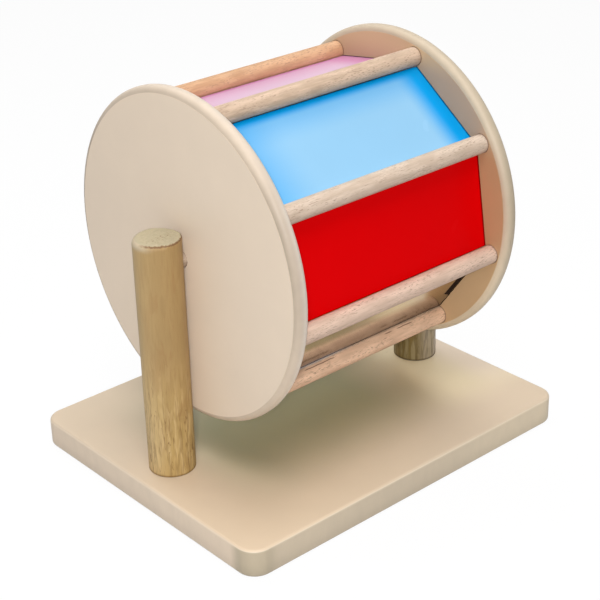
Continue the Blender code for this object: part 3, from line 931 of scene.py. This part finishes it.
def end_ring(at, height, seed):
    """A ring of a post's slightly uneven end grain."""
    ring = []
    for turn in full_turn(POST_FACETS):
        place = (at * cos(turn) * END_GRAIN_RIPPLES, at * sin(turn) * END_GRAIN_RIPPLES, seed)
        dip = END_GRAIN_DIP * noise.noise(Vector(place))
        ring.append(polar(at, turn, height - RIM_INSET + dip))
    return ring


def make_post(side, end, seed):
    node = f"{side}_post"
    low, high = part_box(node)
    x = middle(node).x
    radius = POST_DIAMETER / 2
    shoulder = BOARD_TOP + CLEARANCE
    height = high.z - shoulder
    foot = low.z - shoulder
    tenon = TENON_DIAMETER / 2
    pilot = SCREW_DIAMETER / 2 + CLEARANCE
    pilot_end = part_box(f"{side}_post_screw")[1].z + CLEARANCE - shoulder
    rings = turned_rings([(pilot, pilot_end), (pilot, foot), (tenon, foot), (tenon, 0.0)], POST_FACETS)
    for step in range(POST_SIDE_STEPS + 1):
        z = (height - 2 * POST_TOP_ROUNDING) * step / POST_SIDE_STEPS
        rings.append(side_ring(radius, z, seed))
    for lean in quarter_turn(POST_RIM_STEPS):
        rings.append(rim_ring(radius, height, lean, seed))
    widest = radius - POST_TOP_ROUNDING * RIM_WIDEST_WEAR
    for share in END_GRAIN_RINGS:
        rings.append(end_ring(widest * share, height, seed))
    post = piece(f"{side}_post_oiled", loft(rings), Matrix.Translation((x, 0, shoulder)))

    bore = bmesh.new()
    mouth = Vector((-end * (radius + CUTTER_REACH), 0, AXIS_Z - shoulder))
    seat = Vector((end * (size("axle").x / 2 + CLEARANCE) - x, 0, AXIS_Z - shoulder))
    add_cylinder(bore, mouth, seat, AXLE_DIAMETER + 2 * CLEARANCE)
    carve(post, bore)
    stand_for(post, node, "stand", oiled_wood(side, height))


def recess_arm(span_x, span_y, foot):
    """One arm of a screw's cross recess, wider at its mouth and narrowing to its bottom."""
    corners = [(span_x, span_y), (-span_x, span_y), (-span_x, -span_y), (span_x, -span_y)]
    rings = [[Vector((x / 2 * a, y / 2 * b, foot + z)) for x, y in corners] for a, b, z in RECESS_LEVELS]
    return loft(rings)


def make_screw(side):
    node = f"{side}_post_screw"
    low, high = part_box(node)
    head, shank = SCREW_HEAD_DIAMETER / 2, SCREW_DIAMETER / 2
    cone_foot = low.z + SCREW_HEAD_RIM
    profile = [
        (head - SCREW_HEAD_EASE, low.z),
        (head, low.z + SCREW_HEAD_EASE),
        (head, cone_foot),
        (shank, cone_foot + head - shank),
        (shank, high.z - SCREW_POINT_LENGTH),
        (SCREW_POINT_RADIUS, high.z),
    ]
    place = Matrix.Translation((middle(node).x, 0, 0))
    screw = piece(f"{side}_screw", loft(turned_rings(profile, ROD_FACETS)), place)
    carve(screw, recess_arm(RECESS_SPAN, RECESS_WIDTH, low.z))
    carve(screw, recess_arm(RECESS_WIDTH, RECESS_SPAN, low.z))
    stand_for(screw, node, "stand", zinc())


# Drum


def make_disc(side, end):
    node = f"{side}_disc"
    centre = middle(node)
    half = size(node).x / 2
    radius = DISC_DIAMETER / 2
    edge = rounded_end(radius, half - DISC_EDGE_SHOULDER, DISC_EDGE_ROUNDING, DISC_EDGE_STEPS)
    edge.append((radius - DISC_EDGE_ROUNDING, half))
    solid = along_x(loft(turned_rings(other_end(edge) + edge, DISC_FACETS), CAP_RIM))
    disc = piece(f"{side}_drum_disc", solid, Matrix.Translation(centre))

    inner = -end * half
    holes = bmesh.new()
    for dowel in DOWELS:
        seat = middle(dowel) - centre
        mouth = Vector((inner - end * CUTTER_REACH, seat.y, seat.z))
        bottom = Vector((inner + end * DOWEL_SOCKET_DEPTH, seat.y, seat.z))
        add_cylinder(holes, mouth, bottom, DOWEL_DIAMETER + 2 * CLEARANCE)
    through = half + CUTTER_REACH
    add_cylinder(holes, (-through, 0, 0), (through, 0, 0), AXLE_DIAMETER + 2 * CLEARANCE)
    carve(disc, holes)

    grooves = bmesh.new()
    spans = (
        CUTTER_REACH + PANEL_GROOVE_DEPTH,
        PANEL_WIDTH + 2 * CLEARANCE,
        PANEL_THICKNESS + 2 * CLEARANCE,
    )
    for panel in [*PANEL_TONES, "panel_mirror"]:
        place = outward(panel)
        place.translation.x = inner + end * (PANEL_GROOVE_DEPTH - CUTTER_REACH) / 2
        place.translation.z -= AXIS_Z
        add_box(grooves, spans, place)
    carve(disc, grooves)
    stand_for(disc, node, "drum", disc_lacquer(side, end))


def make_axle():
    length = size("axle").x
    solid = rod(AXLE_DIAMETER, length, AXLE_END_ROUNDING, AXLE_RINGS, AXLE_BULGE, AXLE_SEED)
    axle = piece("axle_rod", solid, Matrix.Translation(middle("axle")))
    stand_for(axle, "axle", "drum", beech("axle"))


def make_dowels():
    for number, node in enumerate(DOWELS, start=1):
        length, seed = size(node).x, DOWEL_SEED * number
        solid = rod(DOWEL_DIAMETER, length, DOWEL_END_ROUNDING, DOWEL_RINGS, DOWEL_BULGE, seed)
        dowel = piece(f"beech_{node}", solid, outward(node))
        stand_for(dowel, node, "drum", beech(node))


def sheet(node):
    """A panel's sheet with rounded edges. A narrow rim on each face keeps its middle's shading flat."""
    solid = bmesh.new()
    add_box(solid, (size(node).x, PANEL_WIDTH, PANEL_THICKNESS), Matrix())
    bmesh.ops.bevel(
        solid,
        geom=solid.edges[:],
        offset=PANEL_EDGE_ROUNDING,
        segments=PANEL_EDGE_STEPS,
        profile=0.5,
        affect="EDGES",
    )
    flats = sorted(solid.faces, key=lambda face: face.calc_area())[-2:]
    bmesh.ops.inset_individual(solid, faces=flats, thickness=CAP_RIM)
    return solid


def make_panels():
    for node in PANEL_TONES:
        panel = piece(f"coloured_{node}", sheet(node), outward(node))
        stand_for(panel, node, "drum", gloss(node))
    node = "panel_mirror"
    panel = piece("silvered_panel_mirror", sheet(node), outward(node))
    stand_for(panel, node, "drum", mirror())


# Studio: a weak even sky, four soft boxes that face the toy, and white paper under it. Lamps are given by
# their direction in degrees, their watts and the side of their square.
SKY = 0.10
Lamp = namedtuple("Lamp", "azimuth elevation watts side")
LAMPS = {
    "behind_camera": Lamp(azimuth=41, elevation=26, watts=11.9, side=0.15),
    "above_camera": Lamp(azimuth=41, elevation=60, watts=7.3, side=0.50),
    "high_at_back": Lamp(azimuth=180, elevation=55, watts=7.5, side=1.00),
    "overhead_right": Lamp(azimuth=270, elevation=75, watts=8.1, side=0.80),
}
LAMP_DISTANCE = 1.4
LAMP_AIM = Vector((0, 0, 0.1))
# The paper is whiter to the eye than to the toy, on which it throws back less. It glows, but for a share
# that shows the toy's shadow.
FLOOR_SPAN = 6.0
FLOOR_DROP = 0.0001
FLOOR_WHITE = 0.9
FLOOR_THROWS_BACK = 0.55
FLOOR_SHOWS_SHADE = 0.07
FLOOR_ROUGHNESS = 0.9
WHITE = (1.0, 1.0, 1.0)


def seen_plainly(tree):
    """1 for rays from the camera, from gloss or through glass, else 0."""
    path = tree.nodes.new("ShaderNodeLightPath")
    total = path.outputs["Is Camera Ray"]
    for label in ("Is Glossy Ray", "Is Transmission Ray"):
        total = math_node(tree, "MAXIMUM", total, path.outputs[label])
    return total


def make_world():
    world = bpy.data.worlds.new("white_studio")
    bpy.context.scene.world = world
    world.use_nodes = True
    tree = world.node_tree
    background = tree.nodes["Background"]
    feed(tree, background.inputs["Color"], WHITE)
    feed(tree, background.inputs["Strength"], math_node(tree, "MAXIMUM", seen_plainly(tree), SKY))


def white_paper():
    paper = bpy.data.materials.new("white_paper")
    paper.use_nodes = True
    tree = paper.node_tree
    seen = seen_plainly(tree)
    shader = tree.nodes["Principled BSDF"]
    extra = math_node(tree, "MULTIPLY", seen, FLOOR_WHITE - FLOOR_THROWS_BACK)
    feed(tree, shader.inputs["Base Color"], math_node(tree, "ADD", extra, FLOOR_THROWS_BACK))
    feed(tree, shader.inputs["Roughness"], FLOOR_ROUGHNESS)
    feed(tree, shader.inputs["Specular IOR Level"], 0.0)
    glow = tree.nodes.new("ShaderNodeEmission")
    feed(tree, glow.inputs["Color"], WHITE)
    mixed = tree.nodes.new("ShaderNodeMixShader")
    feed(tree, mixed.inputs[0], math_node(tree, "MULTIPLY", seen, 1 - FLOOR_SHOWS_SHADE))
    feed(tree, mixed.inputs[1], shader.outputs[0])
    feed(tree, mixed.inputs[2], glow.outputs[0])
    feed(tree, tree.nodes["Material Output"].inputs["Surface"], mixed.outputs[0])
    return paper


def make_floor():
    mesh = bpy.data.meshes.new("floor")
    half = FLOOR_SPAN / 2
    corners = [(x * half, y * half, -FLOOR_DROP) for x, y in ((-1, -1), (1, -1), (1, 1), (-1, 1))]
    mesh.from_pydata(corners, [], [(0, 1, 2, 3)])
    mesh.materials.append(white_paper())
    floor = bpy.data.objects.new("floor", mesh)
    bpy.context.scene.collection.objects.link(floor)


def make_lamps():
    for name, lamp in LAMPS.items():
        data = bpy.data.lights.new(name, "AREA")
        data.shape = "SQUARE"
        data.size = lamp.side
        data.energy = lamp.watts
        light = bpy.data.objects.new(name, data)
        bpy.context.scene.collection.objects.link(light)
        way = direction(lamp.azimuth, lamp.elevation)
        light.location = LAMP_AIM + LAMP_DISTANCE * way
        light.rotation_euler = way.to_track_quat("Z", "Y").to_euler()


def make_camera():
    data = bpy.data.cameras.new("camera")
    data.lens = LENS
    data.sensor_width = SENSOR
    data.clip_start = 0.01
    camera = bpy.data.objects.new("camera", data)
    bpy.context.scene.collection.objects.link(camera)
    away = direction(CAMERA_AZIMUTH, CAMERA_ELEVATION)
    right = Vector((cos(radians(CAMERA_AZIMUTH)), -sin(radians(CAMERA_AZIMUTH)), 0))
    turned = Matrix((right, away.cross(right), away)).transposed()
    rolled = turned @ Matrix.Rotation(radians(CAMERA_ROLL), 3, "Z")
    camera.matrix_world = Matrix.Translation(CAMERA_PLACE) @ rolled.to_4x4()
    bpy.context.scene.camera = camera


def main():
    bpy.context.scene.view_settings.view_transform = "Standard"
    make_camera()
    make_world()
    make_floor()
    make_lamps()
    make_board()
    for number, (side, end) in enumerate(ENDS.items(), start=1):
        make_post(side, end, POST_SEED * number)
        make_screw(side)
        make_disc(side, end)
    make_axle()
    make_dowels()
    make_panels()


main()
